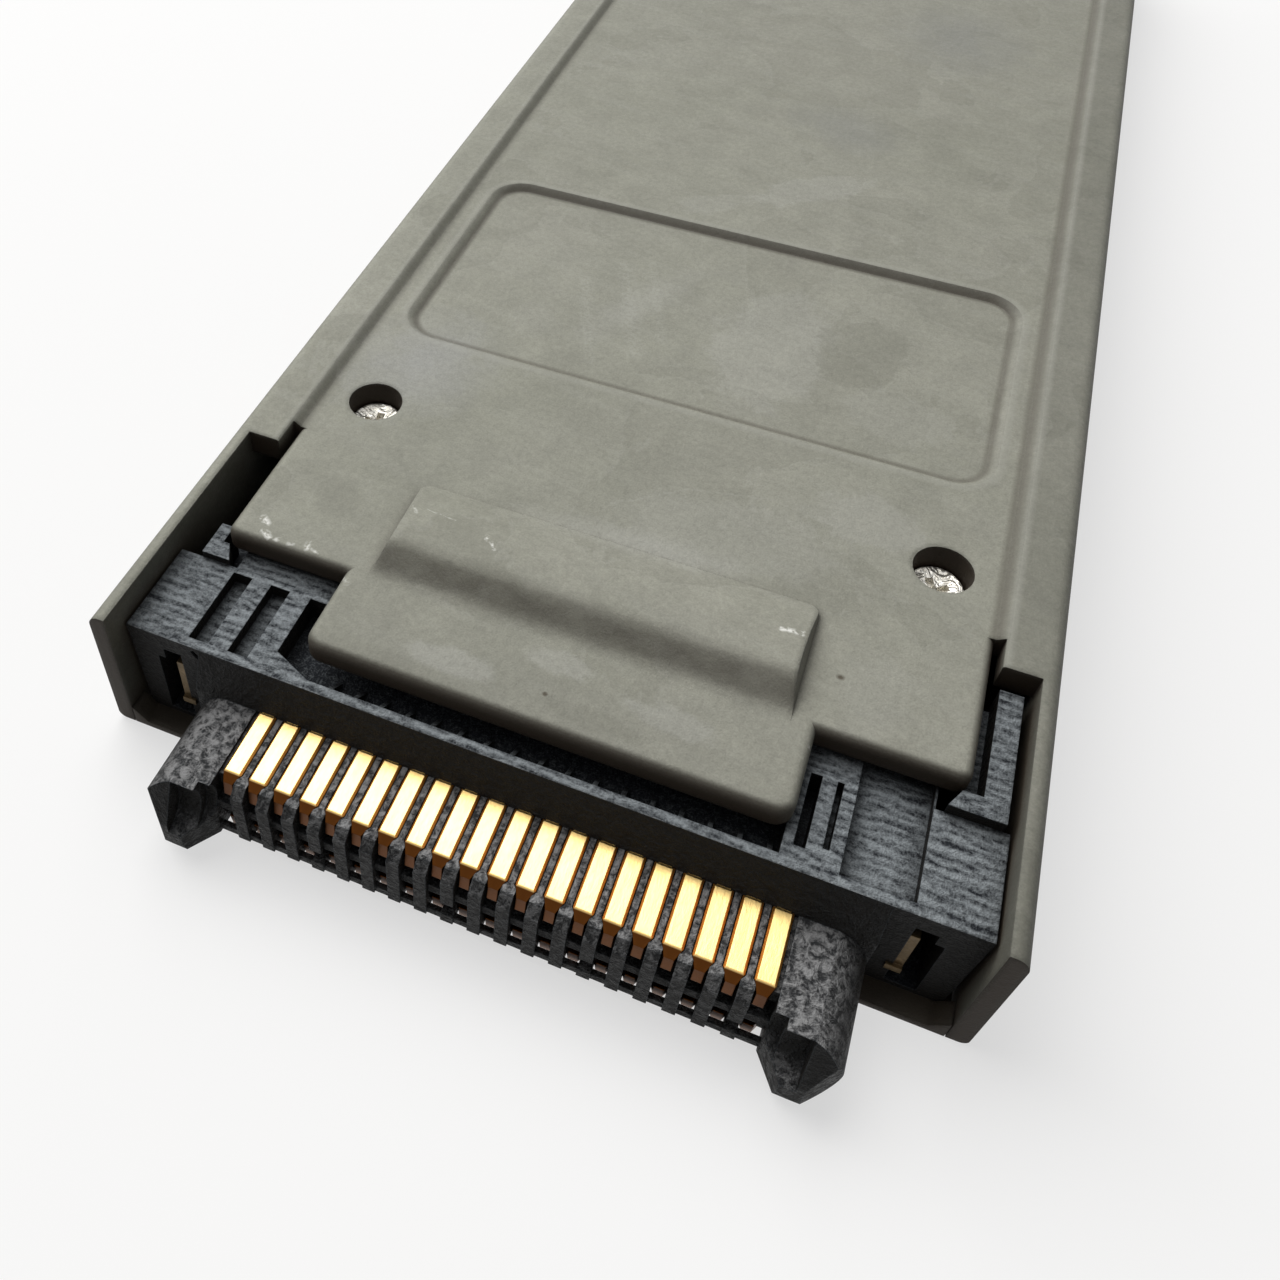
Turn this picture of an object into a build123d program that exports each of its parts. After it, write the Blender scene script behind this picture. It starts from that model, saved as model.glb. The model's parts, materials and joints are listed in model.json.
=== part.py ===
from build123d import *
import os

# Flat drive cartridge with a 40-way plug. Sizes are in millimetres.
# X runs across the case, Y from the plug to the closed rear end, Z up from the underside.
# Every place along Y is measured from the front faces of the two arms.

# Case
case_width = 41.7
case_length = 110.0
case_height = 8.2
case_wall = 0.9
rear_wall = 1.2
top_edge_radius = 0.7
bottom_edge_radius = 0.4
rear_corner_radius = 1.6

# Rails and sunk panel of the top cover
rail_width = 2.75
panel_drop = 0.35
step_run = 0.5
cover_plate = 1.1
rear_rail = 2.75

# Tongue over the plug, and the notches beside it
tongue_inset = 3.0
tongue_front = 2.75
shoulder_front = 7.3
tip_half = 11.3
notch_depth = 13.6
slot_width = 0.4
slot_end = 15.3
shoulder_corner_radius = 0.6
tip_corner_radius = 0.9
tongue_edge_radius = 0.45

# Hump pressed up over the plug
hump_half = 10.35
hump_front = 7.2
hump_crest = 9.8
hump_rear = 14.2
hump_height = 0.85
hump_rear_slope = 0.35
hump_corner_radius = 0.9
hump_end_taper = 20.0

# Label recess
label_inset = 4.2
label_front = 24.7
label_rear = 41.8
label_depth = 0.3
label_corner_radius = 2.2
label_wall_run = 0.5

# Screws and the bosses they clamp the board with
screw_inset = 5.81
screw_y = 18.65
rear_screw_inset = 8.0
screw_head_diameter = 2.7
screw_head_height = 0.75
screw_head_sink = 1.3
socket_length = 1.4
screw_shank_diameter = 1.6
screw_clearance = 0.1
thread_clearance = 0.02
socket_width = 0.4
socket_depth = 0.4
boss_width = 4.4

# Bottom cover
floor_plate = 0.9
shelf_plate = 0.4
shelf_margin = 0.4
fit_clearance = 0.05
corner_gusset = 0.8

# Blade of the plug, with its contacts
contact_count = 20
contact_pitch = 1.27
contact_plane = 4.7
blade_thickness = 4.2
contact_width = 0.9
contact_thickness = 0.25
contact_bevel = 0.1
contact_back = 0.41
contact_shoulder = -2.85
contact_tip = -3.35
contact_tip_width = 0.45
contact_tip_drop = 0.25
contact_hook_end = 3.6
strip_width = 0.6
strip_thickness = 0.2
tail_gap = 0.1
tail_length = 1.5
channel_clearance = 0.03

# Comb nose of the blade
rib_width = 0.27
rib_sink = 0.1
tooth_width = 0.6
tooth_start = -3.1
tooth_flare = 0.25
nose_front = -3.85
nose_chamfer = 0.5
core_front = -3.0
crossbar_height = 0.6
crossbar_inset = 0.3
sill_inset = 0.1
sill_height = 0.45
sill_rear_gap = 0.03
window_height = 0.65
window_depth = 1.4
comb_group_count = 4
short_tooth_foot = 0.65

# Guide horns at the ends of the comb
horn_land = 0.55
horn_width = 3.2
horn_bulge = 1.5
horn_overhang = 0.5
horn_reach = 1.5
horn_underside = 0.45
horn_nose_low = 0.75
horn_nose_high = 2.2
horn_nose_inset = 1.05
horn_nose_width = 1.0
horn_corner_run = 1.0
horn_scoop_floor = 1.7
horn_scoop_sag = 0.35

# Body of the plug
body_side_gap = 0.15
body_draft = 0.3
body_front = 1.15
body_rear = 6.2
body_gap = 0.05
front_wall = 0.5
bay_depth = 1.4
bay_left_margin = 0.2
bay_right_margin = 1.55
bay_corner_run = 2.0
bay_corner_depth = 0.9
fin_width = 0.22
fin_drop = 0.3
fin_length = 1.3
rear_web = 0.3
end_flat_width = 3.1
groove_width = 1.03
groove_depth = 0.7
groove_count = 2
flat_width = 3.1
key_slot_margin = 1.5
key_slot_width = 0.5
key_slot_front = 0.6
key_groove_margin = 0.57
key_groove_width = 0.28
key_groove_front = 0.9
hood_margin = 0.1
hood_length = 3.0
hood_lift = 0.1
hood_drop = 0.2

# Pockets in the end blocks, with their ground strips
pocket_side = 1.45
pocket_width = 1.35
pocket_drop = 1.7
pocket_bottom = 0.7
pocket_depth = 4.2
pocket_step_width = 0.95
pocket_step_height = 0.7
ground_strip_thickness = 0.4
ground_strip_inset = 0.05
ground_strip_foot = 0.8
ground_strip_low = 1.9
ground_strip_high = 4.9
ground_strip_lip_width = 0.3
ground_strip_lip_height = 0.35
ground_strip_lip_thickness = 0.15

# Slanted slit in the front of the left end block
slit_side = 3.5
slit_drop = 0.3
slit_run = 1.0
slit_fall = 1.25
slit_width = 0.26
slit_depth = 0.4

# Side arms and feet of the plug behind the end blocks
arm_side = 0.3
arm_width = 1.05
arm_end_gap = 0.6
arm_drop = 0.9
foot_side = 2.7
foot_length = 0.95
foot_slant = 0.5
arm_step_drop = 0.8
arm_step_start = 1.8
arm_step_end_gap = 0.3
left_foot_side = 1.2
left_foot_width = 0.65
left_foot_length = 2.0
left_foot_drop = 1.1
left_arm_top = 5.0

# Circuit board and its parts
board_thickness = 1.0
board_front_gap = 0.7
board_rear_gap = 3.0
board_side_gap = 1.15
board_arm_gap = 0.6
board_shoulder_gap = 1.2
pad_thickness = 0.5
pad_inset = 0.5
spreader_margin = 1.0
controller_size = 14.0
controller_height = 1.3
controller_y = 30.0
cache_width = 8.0
cache_length = 12.0
cache_height = 1.1
cache_gap = 1.5
flash_width = 13.0
flash_length = 18.0
flash_height = 1.4
flash_x = 8.2
flash_first_y = 52.0
flash_pitch_y = 20.5
flash_rows = 2
capacitor_width = 4.3
capacitor_length = 7.3
capacitor_height = 2.8
capacitor_x = 9.5
capacitor_pitch = 8.5
capacitor_y = 90.0
inductor_size = 5.0
inductor_height = 2.4
power_gap = 1.5
inductor_y = 27.0
regulator_size = 4.0
regulator_height = 0.9
regulator_y = 34.0

# Heights and places that follow from the sizes above
half_width = case_width / 2
inner_half = half_width - case_wall
step_middle = half_width - rail_width
tongue_half = half_width - tongue_inset
label_half = half_width - label_inset
screw_x = half_width - screw_inset
panel_top = case_height - panel_drop
ceiling = panel_top - cover_plate
inner_rear = case_length - rear_wall
blade_middle = contact_plane - blade_thickness / 2
blade_half = contact_count * contact_pitch / 2
board_bottom = blade_middle - board_thickness / 2
board_top = blade_middle + board_thickness / 2
groove_bed = contact_plane - contact_thickness
contact_hook_front = contact_tip - strip_thickness / 2
rib_top = contact_plane - rib_sink
rib_bottom = 2 * blade_middle - rib_top
horn_inner_half = blade_half + horn_land
horn_nose_half = blade_half + horn_nose_inset
horn_outer_half = blade_half + horn_width
horn_top_half = horn_outer_half - horn_bulge
horn_top_front = nose_front - horn_overhang
horn_front = nose_front - horn_reach
body_half = inner_half - body_side_gap
body_top = ceiling - body_gap
wall_back = body_front + front_wall
bay_floor = body_top - bay_depth
bay_rear = body_rear - rear_web
bay_left = blade_half - bay_left_margin
bay_right = blade_half - bay_right_margin
end_block_inner = body_half - end_flat_width
groove_floor = body_top - groove_depth
flat_inner = end_block_inner - flat_width
pocket_outer = body_half - pocket_side
pocket_inner = pocket_outer - pocket_width
pocket_top = body_top - pocket_drop
arm_outer = body_half - arm_side
arm_inner = arm_outer - arm_width
arm_end = notch_depth - arm_end_gap
foot_inner = body_half - foot_side
foot_end = body_rear + foot_length
arm_step_inner = foot_inner + foot_slant
board_front = body_rear + board_front_gap
board_half = inner_half - board_side_gap
tail_start = board_front + tail_gap
shelf_end = tail_start + strip_thickness + shelf_margin
controller_top = board_top + controller_height
flash_top = board_top + flash_height
flash_field_half = flash_x + flash_width / 2
flash_field_front = flash_first_y - flash_length / 2
flash_field_rear = flash_first_y + (flash_rows - 1) * flash_pitch_y + flash_length / 2
head_seat = panel_top - screw_head_sink - screw_head_height
screw_places = [
    (side * screw_x, y)
    for y in (screw_y, case_length - rear_screw_inset)
    for side in (-1, 1)
]
contact_places = [
    (number - (contact_count - 1) / 2) * contact_pitch for number in range(contact_count)
]
rib_places = [place + contact_pitch / 2 for place in contact_places[:-1]]
frame_shift = Pos(0, -(case_length + horn_front) / 2, 0)


def along_x(sketch, start, end):
    """Extrudes a sketch of (Y, Z) from one X to another."""
    return extrude(Plane.YZ.offset(start) * sketch, amount=end - start)


def along_y(sketch, start, end):
    """Extrudes a sketch of (X, Z) from one Y to another."""
    return extrude(Plane.XZ.offset(-start) * sketch, amount=start - end)


def along_z(sketch, start, end):
    """Extrudes a sketch of (X, Y) from one Z to another."""
    return extrude(Plane.XY.offset(start) * sketch, amount=end - start)


def outline(points):
    """Closes a list of points into a flat face."""
    return make_face(Polyline(*points, close=True))


def field(x0, x1, y0, y1):
    """Rectangle given by its limits."""
    return Pos((x0 + x1) / 2, (y0 + y1) / 2) * Rectangle(abs(x1 - x0), abs(y1 - y0))


def block(x0, x1, y0, y1, z0, z1):
    """Rectangular volume given by its limits."""
    return along_z(field(x0, x1, y0, y1), z0, z1)


def rod(diameter, place, z0, z1):
    """Upright cylinder."""
    return along_z(Pos(*place) * Circle(diameter / 2), z0, z1)


def post(width, place, z0, z1):
    """Upright square post."""
    return along_z(Pos(*place) * Rectangle(width, width), z0, z1)


def both_sides(solid):
    """A solid and its mirror image across the case."""
    return solid + mirror(solid, about=Plane.YZ)


def tongue_plate():
    """Rounded tongue that reaches forward over the plug."""
    root = slot_end + slot_width
    plan = outline([
        (-tongue_half, root),
        (-tongue_half, shoulder_front),
        (-tip_half, shoulder_front),
        (-tip_half, tongue_front),
        (tip_half, tongue_front),
        (tip_half, shoulder_front),
        (tongue_half, shoulder_front),
        (tongue_half, root),
    ])
    corners = [
        (tip_half, tongue_front, tip_corner_radius),
        (tongue_half, shoulder_front, shoulder_corner_radius),
    ]
    for x, y, radius in corners:
        pair = [v for v in plan.vertices() if abs(abs(v.X) - x) < 1e-6 and abs(v.Y - y) < 1e-6]
        plan = fillet(pair, radius)
    plate = along_z(plan, ceiling, panel_top)
    top_edges = plate.faces().sort_by(Axis.Z)[-1].edges()
    rounded = [edge for edge in top_edges if edge.center().Y < root - 1e-6]
    return fillet(rounded, tongue_edge_radius)


def hump():
    """Soft ridge that swells up from its rear edge and falls steeply at its front."""
    foot = panel_top - cover_plate / 2
    crest = panel_top + hump_height
    rise = Spline((hump_front, panel_top), (hump_crest, crest), tangents=((1, 0), (1, 0)))
    fall = Spline((hump_crest, crest), (hump_rear, panel_top), tangents=((1, 0), (1, -hump_rear_slope)))
    base = Polyline((hump_rear, panel_top), (hump_rear, foot), (hump_front, foot), (hump_front, panel_top))
    ridge = along_x(make_face([rise, fall, base]), -half_width, half_width)
    plan = field(-hump_half, hump_half, hump_front - hump_corner_radius, hump_rear)
    plan = fillet(plan.vertices(), hump_corner_radius)
    ends = extrude(Plane.XY.offset(foot) * plan, amount=cover_plate + hump_height, taper=hump_end_taper)
    return ridge & ends


def label_recess():
    """Shallow recess with rounded corners and sloped walls."""
    middle = (label_front + label_rear) / 2
    length = label_rear - label_front
    mouth = RectangleRounded(2 * label_half, length, label_corner_radius)
    bed = RectangleRounded(
        2 * (label_half - label_wall_run),
        length - 2 * label_wall_run,
        label_corner_radius - label_wall_run,
    )
    top = Plane.XY.offset(panel_top) * Pos(0, middle) * mouth
    bottom = Plane.XY.offset(panel_top - label_depth) * Pos(0, middle) * bed
    return loft([bottom, top])


def square_about(size, y):
    """Limits of a square on the middle line."""
    return -size / 2, size / 2, y - size / 2, y + size / 2


def flash_field(margin):
    """Limits of the field that the flash packages cover, widened by a margin."""
    half = flash_field_half + margin
    return -half, half, flash_field_front - margin, flash_field_rear + margin


def spreaders():
    """Raised pads inside the cover that reach down towards the chips."""
    over_controller = square_about(controller_size + 2 * spreader_margin, controller_y)
    return [
        block(*over_controller, controller_top + pad_thickness, ceiling),
        block(*flash_field(spreader_margin), flash_top + pad_thickness, ceiling),
    ]


def top_cover():
    """Cast upper shell with its arms, rails, tongue, spreader pads and bosses."""
    section = Pos(0, case_height / 2) * Rectangle(case_width, case_height)
    section = fillet(section.vertices().group_by(Axis.Y)[-1], top_edge_radius)
    section = fillet(section.vertices().group_by(Axis.Y)[0], bottom_edge_radius)
    plan = field(-half_width, half_width, 0, case_length)
    plan = fillet(plan.vertices().group_by(Axis.Y)[-1], rear_corner_radius)
    shell = along_y(section, 0, case_length) & along_z(plan, 0, case_height)
    shell -= block(-inner_half, inner_half, -case_wall, inner_rear, -case_wall, ceiling)
    step = outline([
        (-step_middle + step_run / 2, panel_top),
        (-step_middle - step_run / 2, case_height),
        (step_middle + step_run / 2, case_height),
        (step_middle - step_run / 2, panel_top),
    ])
    shell -= along_y(step, -case_wall, case_length - rear_rail)
    shell -= block(-inner_half, inner_half, -case_wall, notch_depth, ceiling - case_wall, case_height)
    slot_half = tongue_half + slot_width
    shell -= block(-slot_half, slot_half, 0, slot_end, ceiling - case_wall, case_height)
    shell += spreaders()
    shell += tongue_plate()
    shell += hump()
    shell -= label_recess()
    for place in screw_places:
        shell += post(boss_width, place, board_top, panel_top - label_depth)
    for place in screw_places:
        shell -= rod(screw_head_diameter + 2 * screw_clearance, place, head_seat, case_height)
        shell -= rod(screw_shank_diameter + 2 * screw_clearance, place, board_top, case_height)
    return shell


def bottom_cover():
    """Floor plate with screw bosses, thinned under the plug and cut back under the blade."""
    half = inner_half - fit_clearance
    rear = inner_rear - fit_clearance
    floor = block(-half, half, 0, rear, 0, floor_plate)
    floor -= block(-half, half, 0, shelf_end, shelf_plate, floor_plate)
    relief = horn_outer_half + fit_clearance
    floor -= block(-relief, relief, 0, body_front, 0, floor_plate)
    gusset = outline([
        (half - corner_gusset, shelf_plate),
        (half, shelf_plate),
        (half, shelf_plate + corner_gusset),
    ])
    floor += both_sides(along_y(gusset, 0, body_front - fit_clearance))
    for place in screw_places:
        floor += post(boss_width, place, floor_plate, board_bottom)
    for place in screw_places:
        floor -= rod(screw_shank_diameter + 2 * thread_clearance, place, shelf_plate, board_bottom)
    return floor


def blade():
    """Blade core with contact beds and a comb of ribs that widen into teeth at the nose."""
    low_bed = 2 * blade_middle - groove_bed
    core = block(-blade_half, blade_half, core_front, body_front, low_bed, groove_bed)
    for side in (-1, 1):
        near = blade_middle + side * crossbar_height / 2
        far = near + side * window_height
        core -= block(
            -blade_half, blade_half, core_front, core_front + window_depth, min(near, far), max(near, far)
        )
    comb_plan = outline([
        (-rib_width / 2, body_front),
        (-rib_width / 2, tooth_start + tooth_flare),
        (-tooth_width / 2, tooth_start),
        (-tooth_width / 2, nose_front),
        (tooth_width / 2, nose_front),
        (tooth_width / 2, tooth_start),
        (rib_width / 2, tooth_start + tooth_flare),
        (rib_width / 2, body_front),
    ])
    comb_side = outline([
        (body_front, rib_top),
        (nose_front + nose_chamfer, rib_top),
        (nose_front, rib_top - nose_chamfer),
        (nose_front, rib_bottom),
        (body_front, rib_bottom),
    ])
    rib = along_z(comb_plan, rib_bottom, rib_top) & along_x(comb_side, -tooth_width, tooth_width)
    ribs = [Pos(place, 0, 0) * rib for place in rib_places]
    crossbar = block(
        -blade_half, blade_half, nose_front + crossbar_inset, core_front,
        blade_middle - crossbar_height / 2, blade_middle + crossbar_height / 2,
    )
    sill = block(
        -blade_half, blade_half, nose_front + sill_inset, contact_hook_front - sill_rear_gap,
        rib_bottom, rib_bottom + sill_height,
    )
    comb = core + ribs + crossbar + sill
    opening = block(
        -tooth_width / 2, tooth_width / 2, nose_front, core_front,
        rib_bottom + short_tooth_foot, blade_middle - crossbar_height / 2,
    )
    group_size = contact_count // comb_group_count
    for place in rib_places[group_size - 2::group_size]:
        comb -= Pos(place, 0, 0) * opening
    return comb


def guide_horn():
    """Right-hand guide horn with a bulging outer side, a sloping nose and a scoop beside the comb."""
    bulge = ThreePointArc(
        (horn_top_half, horn_underside),
        (horn_outer_half, (horn_underside + rib_top) / 2),
        (horn_top_half, rib_top),
    )
    flats = Polyline(
        (horn_top_half, rib_top),
        (blade_half, rib_top),
        (blade_half, horn_underside),
        (horn_top_half, horn_underside),
    )
    side = outline([
        (body_front, horn_underside),
        (body_front, rib_top),
        (horn_top_front, rib_top),
        (horn_front, horn_nose_high),
        (horn_front, horn_nose_low),
        (horn_front + rib_sink, horn_underside),
    ])
    plan = outline([
        (blade_half, body_front),
        (blade_half, nose_front),
        (horn_nose_half, horn_front),
        (horn_nose_half + horn_nose_width, horn_front),
        (horn_outer_half, horn_front + horn_corner_run),
        (horn_outer_half, body_front),
    ])
    horn = along_y(make_face([bulge, flats]), horn_front, body_front)
    horn = horn & along_x(side, blade_half, horn_outer_half) & along_z(plan, horn_underside, rib_top)
    return horn - horn_scoop()


def horn_scoop():
    """Hollow under the front edge of the horn's top, in two steps, that sweeps out to the nose."""
    middle = (horn_scoop_floor + rib_top) / 2
    steps = [(nose_front, blade_half, horn_inner_half), (horn_top_front, horn_inner_half, horn_top_half)]
    scoop = Part()
    for top_front, start, end in steps:
        hollow = ThreePointArc(
            (top_front, rib_top), (top_front + horn_scoop_sag, middle), (horn_front, horn_scoop_floor)
        )
        front = Polyline((horn_front, horn_scoop_floor), (horn_front, rib_top), (top_front, rib_top))
        scoop += along_x(make_face([hollow, front]), start, end)
    return scoop


def plug_body():
    """Moulded body behind the blade with its bays, fins, end blocks, pockets and hood."""
    section = outline([
        (-body_half + body_draft, shelf_plate),
        (-body_half, body_top),
        (body_half, body_top),
        (body_half - body_draft, shelf_plate),
    ])
    body = along_y(section, body_front, body_rear)
    root = outline([
        (body_front, body_top - rib_sink),
        (contact_back, rib_top),
        (contact_back, rib_bottom),
        (body_front, rib_bottom),
    ])
    body += along_x(root, -horn_outer_half, horn_outer_half)
    hood_half = end_block_inner + hood_margin
    hood_rear = body_rear + hood_length
    hood_bottom = contact_plane + hood_lift
    body += block(-hood_half, hood_half, body_rear, hood_rear, hood_bottom, body_top - hood_drop)
    bay = outline([
        (-bay_left, bay_rear),
        (-bay_left, wall_back + bay_corner_depth),
        (-bay_left + bay_corner_run, wall_back),
        (bay_right, wall_back),
        (bay_right, bay_rear),
    ])
    body -= along_z(bay, bay_floor, body_top)
    fin_side = outline([
        (wall_back, bay_floor),
        (wall_back, body_top - fin_drop),
        (wall_back + fin_length, bay_floor),
    ])
    fin = along_x(fin_side, -fin_width / 2, fin_width / 2)
    fins_start = -bay_left + bay_corner_run
    body += [Pos(x, 0, 0) * fin for x in contact_places if fins_start < x < bay_right - fin_width]
    for number in range(groove_count):
        left = -end_block_inner + 2 * number * groove_width
        body -= block(left, left + groove_width, wall_back, bay_rear, groove_floor, body_top)
    body -= block(flat_inner, end_block_inner, wall_back, hood_rear, groove_floor, body_top)
    slot_outer = flat_inner - key_slot_margin
    slot_front = wall_back + key_slot_front
    body -= block(slot_outer - key_slot_width, slot_outer, slot_front, bay_rear, bay_floor, body_top)
    groove_outer = flat_inner - key_groove_margin
    groove_inner = groove_outer - key_groove_width
    groove_front = wall_back + key_groove_front
    body -= block(groove_inner, groove_outer, groove_front, bay_rear, groove_floor, body_top)
    pocket_rear = body_front + pocket_depth
    pocket = block(pocket_inner, pocket_outer, body_front, pocket_rear, pocket_bottom, pocket_top)
    pocket += block(
        pocket_inner, pocket_inner + pocket_step_width, body_front, pocket_rear,
        pocket_top, pocket_top + pocket_step_height,
    )
    body -= both_sides(pocket)
    return body - slit()


def slit():
    """Thin slanted slit in the front face of the left end block."""
    start = Vector(slit_side - body_half, body_top - slit_drop)
    end = start + Vector(slit_run, -slit_fall)
    across = Vector(slit_fall, slit_run).normalized() * slit_width / 2
    face = outline([start - across, end - across, end + across, start + across])
    return along_y(face, body_front, body_front + slit_depth)


def right_side_arm():
    """Long arm behind the right end block, with its foot and a low step inside."""
    plan = outline([
        (foot_inner, body_rear),
        (arm_step_inner, foot_end),
        (arm_inner, foot_end),
        (arm_inner, arm_end),
        (arm_outer, arm_end),
        (arm_outer, body_rear),
    ])
    arm = along_z(plan, floor_plate, case_height - arm_drop)
    step_start = body_rear + arm_step_start
    step_end = arm_end - arm_step_end_gap
    step_top = body_top - arm_step_drop
    return arm + block(arm_step_inner, arm_inner, step_start, step_end, floor_plate, step_top)


def left_side_arm():
    """Low arm behind the left end block, with a tall foot."""
    outer = body_half - left_foot_side
    inner = outer - left_foot_width
    plan = outline([
        (-foot_inner, body_rear),
        (-arm_step_inner, foot_end),
        (-inner, foot_end),
        (-inner, body_rear + left_foot_length),
        (-outer, body_rear + left_foot_length),
        (-outer, body_rear),
    ])
    foot = along_z(plan, floor_plate, case_height - left_foot_drop)
    arm = block(-outer, -arm_step_inner, body_rear, arm_end, floor_plate, left_arm_top)
    return foot + arm


def connector_housing():
    """Whole moulded plug, with a channel for each contact."""
    housing = plug_body() + blade()
    housing += both_sides(guide_horn())
    housing += right_side_arm()
    housing += left_side_arm()
    channel_half = strip_width / 2 + channel_clearance
    channel_front = contact_back - contact_width
    channel_top = groove_bed + strip_thickness + channel_clearance
    channel = block(-channel_half, channel_half, channel_front, body_rear, groove_bed, channel_top)
    channels = [Pos(x, 0, 0) * channel for x in contact_places]
    low_channels = [mirror(solid, about=Plane.XY.offset(blade_middle)) for solid in channels]
    housing -= channels + low_channels
    return housing


def upper_contact():
    """Contact with a bevelled flat, a hooked tip and a strip that bends down to the board."""
    bed = groove_bed
    strip_top = bed + strip_thickness
    bend = tail_start - strip_thickness
    side = outline([
        (core_front, bed),
        (contact_tip + strip_thickness, contact_hook_end),
        (contact_hook_front, contact_hook_end),
        (contact_tip, contact_plane - contact_tip_drop),
        (contact_shoulder, contact_plane),
        (contact_back - contact_bevel, contact_plane),
        (contact_back, strip_top),
        (bend + strip_thickness, strip_top),
        (tail_start + strip_thickness, board_top + strip_thickness),
        (tail_start + tail_length, board_top + strip_thickness),
        (tail_start + tail_length, board_top),
        (tail_start, board_top),
        (bend, bed),
    ])
    plan = outline([
        (-contact_tip_width / 2, contact_hook_front),
        (-contact_tip_width / 2, contact_tip),
        (-contact_width / 2, contact_shoulder),
        (-contact_width / 2, contact_back),
        (-strip_width / 2, contact_back),
        (-strip_width / 2, tail_start + tail_length),
        (strip_width / 2, tail_start + tail_length),
        (strip_width / 2, contact_back),
        (contact_width / 2, contact_back),
        (contact_width / 2, contact_shoulder),
        (contact_tip_width / 2, contact_tip),
        (contact_tip_width / 2, contact_hook_front),
    ])
    solid = along_x(side, -contact_width, contact_width) & along_z(plan, board_bottom, case_height)
    long_edges = [
        edge for edge in solid.edges().filter_by(Axis.Y)
        if abs(edge.center().Z - contact_plane) < 1e-6
    ]
    return chamfer(long_edges, contact_bevel)


def ground_strip():
    """Right-hand brass strip on the inner wall of its pocket, with a lip bent over the front face."""
    pocket_rear = body_front + pocket_depth
    plan = outline([
        (pocket_inner, body_front + ground_strip_inset),
        (pocket_inner + ground_strip_thickness, body_front + ground_strip_inset),
        (pocket_inner + ground_strip_thickness, pocket_rear - ground_strip_thickness),
        (pocket_inner + ground_strip_foot, pocket_rear - ground_strip_thickness),
        (pocket_inner + ground_strip_foot, pocket_rear),
        (pocket_inner, pocket_rear),
    ])
    strip = along_z(plan, ground_strip_low, ground_strip_high)
    lip_front = body_front - ground_strip_lip_thickness
    lip_top = ground_strip_low + ground_strip_lip_height
    lip = block(
        pocket_inner - ground_strip_lip_width, pocket_inner + ground_strip_thickness,
        lip_front, body_front, ground_strip_low, lip_top,
    )
    neck = block(
        pocket_inner, pocket_inner + ground_strip_thickness,
        body_front, body_front + ground_strip_inset, ground_strip_low, lip_top,
    )
    return strip + lip + neck


def circuit_board():
    """Board with a narrower nose between the side arms of the plug."""
    rear = inner_rear - board_rear_gap
    nose_half = arm_step_inner - board_arm_gap
    shoulder = arm_end + board_shoulder_gap
    plan = outline([
        (-nose_half, board_front),
        (nose_half, board_front),
        (nose_half, shoulder),
        (board_half, shoulder),
        (board_half, rear),
        (-board_half, rear),
        (-board_half, shoulder),
        (-nose_half, shoulder),
    ])
    board = along_z(plan, board_bottom, board_top)
    for place in screw_places:
        board -= rod(screw_shank_diameter + 2 * screw_clearance, place, board_bottom, board_top)
    return board


def chip(width, length, height, x, y):
    """Package that lies on the board."""
    return block(x - width / 2, x + width / 2, y - length / 2, y + length / 2, board_top, board_top + height)


def controller_pad():
    """Thermal pad between the controller and the cover."""
    limits = square_about(controller_size - 2 * pad_inset, controller_y)
    return block(*limits, controller_top, controller_top + pad_thickness)


def flash_pad():
    """Thermal pad between the flash packages and the cover."""
    return block(*flash_field(-pad_inset), flash_top, flash_top + pad_thickness)


def screws():
    """Cheese-head screws with a cross-shaped drive."""
    head_top = head_seat + screw_head_height
    shank_end = shelf_plate + fit_clearance
    solids = []
    for place in screw_places:
        head = rod(screw_head_diameter, place, head_seat, head_top)
        cross = Rectangle(socket_length, socket_width) + Rectangle(socket_width, socket_length)
        head -= along_z(Pos(*place) * cross, head_top - socket_depth, head_top)
        solids.append(head + rod(screw_shank_diameter, place, shank_end, head_seat))
    return solids


def all_nodes():
    """Every piece by its name."""
    nodes = {
        "top_cover": top_cover(),
        "bottom_cover": bottom_cover(),
        "connector_housing": connector_housing(),
        "circuit_board": circuit_board(),
        "case_screws": Compound(screws()),
        "controller_pad": controller_pad(),
        "flash_pad": flash_pad(),
    }
    contact = upper_contact()
    low_contact = mirror(contact, about=Plane.XY.offset(blade_middle))
    for number, x in enumerate(contact_places, start=1):
        nodes[f"upper_contact_{number:02d}"] = Pos(x, 0, 0) * contact
        nodes[f"lower_contact_{number:02d}"] = Pos(x, 0, 0) * low_contact
    strip = ground_strip()
    nodes["ground_strip_right"] = strip
    nodes["ground_strip_left"] = mirror(strip, about=Plane.YZ)
    nodes["controller"] = chip(controller_size, controller_size, controller_height, 0, controller_y)
    cache_x = -(controller_size / 2 + cache_gap + cache_width / 2)
    nodes["cache_memory"] = chip(cache_width, cache_length, cache_height, cache_x, controller_y)
    number = 0
    for row in range(flash_rows):
        for side in (-1, 1):
            number += 1
            x, y = side * flash_x, flash_first_y + row * flash_pitch_y
            nodes[f"flash_package_{number}"] = chip(flash_width, flash_length, flash_height, x, y)
    for number, x in enumerate((-capacitor_x, -capacitor_x + capacitor_pitch), start=1):
        nodes[f"holdup_capacitor_{number}"] = chip(
            capacitor_width, capacitor_length, capacitor_height, x, capacitor_y
        )
    power_x = controller_size / 2 + spreader_margin + power_gap + inductor_size / 2
    nodes["power_inductor"] = chip(inductor_size, inductor_size, inductor_height, power_x, inductor_y)
    nodes["power_regulator"] = chip(regulator_size, regulator_size, regulator_height, power_x, regulator_y)
    return nodes


os.makedirs("parts", exist_ok=True)
for name, solid in all_nodes().items():
    export_step(frame_shift * solid, f"parts/{name}.step")
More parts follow.
